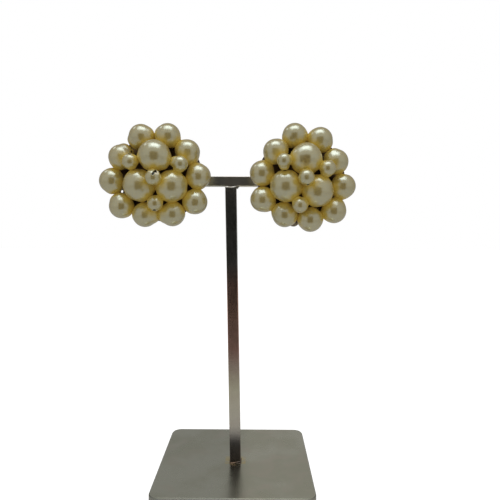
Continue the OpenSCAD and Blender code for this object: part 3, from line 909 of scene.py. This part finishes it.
def buildBeadTree(values):
    # A path with a thickness at each point is swept round by a circle, and noise makes it uneven.
    tree, sockets, inputs = startTree("solderBead", (
        ("Source", "Geometry", None), ("Step", "Float", 0.00025), ("Sides", "Int", 10),
        ("Uneven", "Float", 0.0001), ("Seed", "Float", 3.0), ("Finish", "Material", None)))
    line = feed(tree, addNode(tree, "GeometryNodeMeshToCurve", (-4, 0)), i0=inputs["Source"])
    fine = addNode(tree, "GeometryNodeResampleCurve", (-3, 0), mode="LENGTH")
    feed(tree, fine, Curve=line.outputs[0], Length=inputs["Step"])
    thick = addNode(tree, "GeometryNodeInputNamedAttribute", (-3, 2), data_type="FLOAT")
    feed(tree, thick, Name="thickness")
    profile = addNode(tree, "GeometryNodeCurvePrimitiveCircle", (-2, 2), mode="RADIUS")
    feed(tree, profile, Resolution=inputs["Sides"], Radius=1.0)
    bead = addNode(tree, "GeometryNodeCurveToMesh", (0, 0))
    feed(tree, bead, Curve=fine.outputs[0], Profile_Curve=profile.outputs["Curve"],
         Scale=thick.outputs[0], Fill_Caps=True)
    field = addNode(tree, "ShaderNodeTexNoise", (0, 3), noise_dimensions="4D")
    feed(tree, field, W=inputs["Seed"], Scale=values["unevennessScale"], Detail=1.0)
    centred = mathNode(tree, "SUBTRACT", field.outputs["Fac"], 0.5, (1, 4))
    push = addNode(tree, "ShaderNodeVectorMath", (2, 2), operation="SCALE")
    feed(tree, push, i0=addNode(tree, "GeometryNodeInputNormal", (1, 3)).outputs[0],
         Scale=multiply(tree, centred, inputs["Uneven"], (2, 4)))
    uneven = addNode(tree, "GeometryNodeSetPosition", (3, 0))
    feed(tree, uneven, Geometry=bead.outputs[0], Offset=push.outputs[0])
    finishTree(tree, uneven.outputs[0], inputs["Finish"], 4)
    return tree, sockets


def buildSolder(values):
    tree, sockets = buildBeadTree(values)
    material = makeSolderMaterial(values)
    for k, (name, rows) in enumerate(values["paths"].items()):
        path = bpy.data.meshes.new(name + "Path")
        edges = [(i, i + 1) for i in range(len(rows) - 1)]
        path.from_pydata([[v * mm for v in row[:3]] for row in rows], edges, [])
        layer = path.attributes.new("thickness", "FLOAT", "POINT")
        layer.data.foreach_set("value", [row[3] * mm for row in rows])
        mesh = meshFromTree(name + "Look", tree, sockets, {
            "Step": values["beadStep"] * mm, "Sides": values["sides"],
            "Uneven": values["unevenness"] * mm, "Seed": values["firstSeed"] + k, "Finish": material,
        }, path)
        piece = addPiece(name, mesh)
        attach(piece, "root")


buildSolder(solderValues)
print("solder laid")


# Metal of the pieces that keep their CAD shape.
earringMetals = {"back_plate": "plateMetal", "clip": "clipMetal", "ring_wire": "wireMetal",
                 "inner_wire": "wireMetal"}


def dress(node, material):
    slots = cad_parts[node].material_slots
    if slots:
        for slot in slots:
            slot.material = material
    else:
        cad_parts[node].data.materials.append(material)


dress("display_stand", satinSteel)
for side in ("left", "right"):
    for part, metal in earringMetals.items():
        dress(f"{side}_{part}", tarnished[metal])
print("metal dressed")


# Studio, in mm: pale floor and white surround, soft light from overhead, and a dark card before the
# camera that only reflections see.
studioValues = {
    # Strength of the surround in front and behind, and the y of a direction between which it changes.
    "surround": {"front": 0.52, "behind": 0.30, "limits": (-0.6, 0.6)},
    "floorTones": ((0.95, 0.95, 0.94, 1), (0.90, 0.90, 0.89, 1)),
    "floorScale": 30.0,
    "floorGlow": 0.8,      # added only where the camera sees the floor
    "floorInGloss": (0.94, 0.94, 0.94, 1),
    "floorRoughness": 0.8,
    "floorShine": 0.1,
    "floorSize": 3000,
    "lamps": {
        "overhead": {"place": (0, -70, 328), "size": (270, 170), "power": 0.180, "glossOnly": False},
        "core": {"place": (2, -62, 312), "size": (150, 90), "power": 0.062, "glossOnly": True},
        "left": {"place": (-189, 50, 310), "size": (60, 50), "power": 0.020, "glossOnly": True},
    },
    "aim": (0, 0, 100),
    "card": {"y": -150, "halfWidth": 76, "bottom": 0, "top": 165, "roughness": 0.9,
             "tone": (0.02, 0.017, 0.013, 1)},
}


def buildSurround(values):
    world = bpy.data.worlds.new("studio")
    scene.world = world
    world.use_nodes = True
    tree = world.node_tree
    tree.nodes.clear()
    seen = feed(tree, addNode(tree, "ShaderNodeBackground", (0, 0)), Color=white, Strength=1.0)
    # The surround is brighter on the camera's side than behind the stand.
    way = addNode(tree, "ShaderNodeTexCoord", (-3, 1)).outputs["Generated"]
    strength = ramp(tree, splitAxes(tree, way, (-2, 1))[1], values["limits"], (-1, 1),
                    (values["front"], values["behind"]))
    around = feed(tree, addNode(tree, "ShaderNodeBackground", (0, 1)), Color=white, Strength=strength)
    rays = addNode(tree, "ShaderNodeLightPath", (0, -2)).outputs
    choose = addNode(tree, "ShaderNodeMixShader", (1, 0))
    feed(tree, choose, i0=rays["Is Camera Ray"], i1=around.outputs[0], i2=seen.outputs[0])
    join(tree, choose.outputs[0], addNode(tree, "ShaderNodeOutputWorld", (2, 0)).inputs[0])


def addSheet(name, corners, material):
    sheet = bpy.data.meshes.new(name)
    sheet.from_pydata([[v * mm for v in corner] for corner in corners], [], [(0, 1, 2, 3)])
    sheet.materials.append(material)
    return addPiece(name, sheet)


def buildFloor(values):
    material, tree, shader, coords = newMaterial("paleFloor")
    grain = noiseNode(tree, coords, values["floorScale"], 2.0, 0.5, (-4, 0))
    pale = mixColour(tree, grain, *values["floorTones"], (0, 0))
    rays = addNode(tree, "ShaderNodeLightPath", (-2, 3)).outputs
    mirrored = mixColour(tree, rays["Is Glossy Ray"], pale, values["floorInGloss"], (1, 0))
    glow = multiply(tree, rays["Is Camera Ray"], values["floorGlow"], (4, 4))
    feed(tree, shader, Base_Color=mirrored, Roughness=values["floorRoughness"],
         Specular_IOR_Level=values["floorShine"], Emission_Color=white, Emission_Strength=glow)
    half = values["floorSize"] / 2
    corners = [(-half, -half, 0), (half, -half, 0), (half, half, 0), (-half, half, 0)]
    return addSheet("floor", corners, material)


def buildCard(values):
    material, tree, shader, _ = newMaterial("darkCard")
    feed(tree, shader, Base_Color=values["tone"], Roughness=values["roughness"])
    side, y, low, high = (values[key] for key in ("halfWidth", "y", "bottom", "top"))
    corners = [(-side, y, low), (side, y, low), (side, y, high), (-side, y, high)]
    card = addSheet("darkCard", corners, material)
    card.visible_camera = False
    card.visible_diffuse = False
    card.visible_shadow = False
    return card


def addLamp(name, values, aim):
    data = bpy.data.lights.new(name, "AREA")
    data.shape = "RECTANGLE"
    data.size, data.size_y = (v * mm for v in values["size"])
    data.energy = values["power"]
    lamp = addPiece(name, data)
    lamp.location = Vector(values["place"]) * mm
    lamp.rotation_euler = (aim - lamp.location).to_track_quat("-Z", "Y").to_euler()
    lamp.visible_diffuse = not values["glossOnly"]


def buildStudio(values):
    buildSurround(values["surround"])
    floorObject = buildFloor(values)
    cardObject = buildCard(values["card"])
    aim = Vector([v * mm for v in values["aim"]])
    for name, lamp in values["lamps"].items():
        addLamp(name, lamp, aim)
    scene.view_settings.view_transform = "Standard"


buildStudio(studioValues)
print("studio lit")
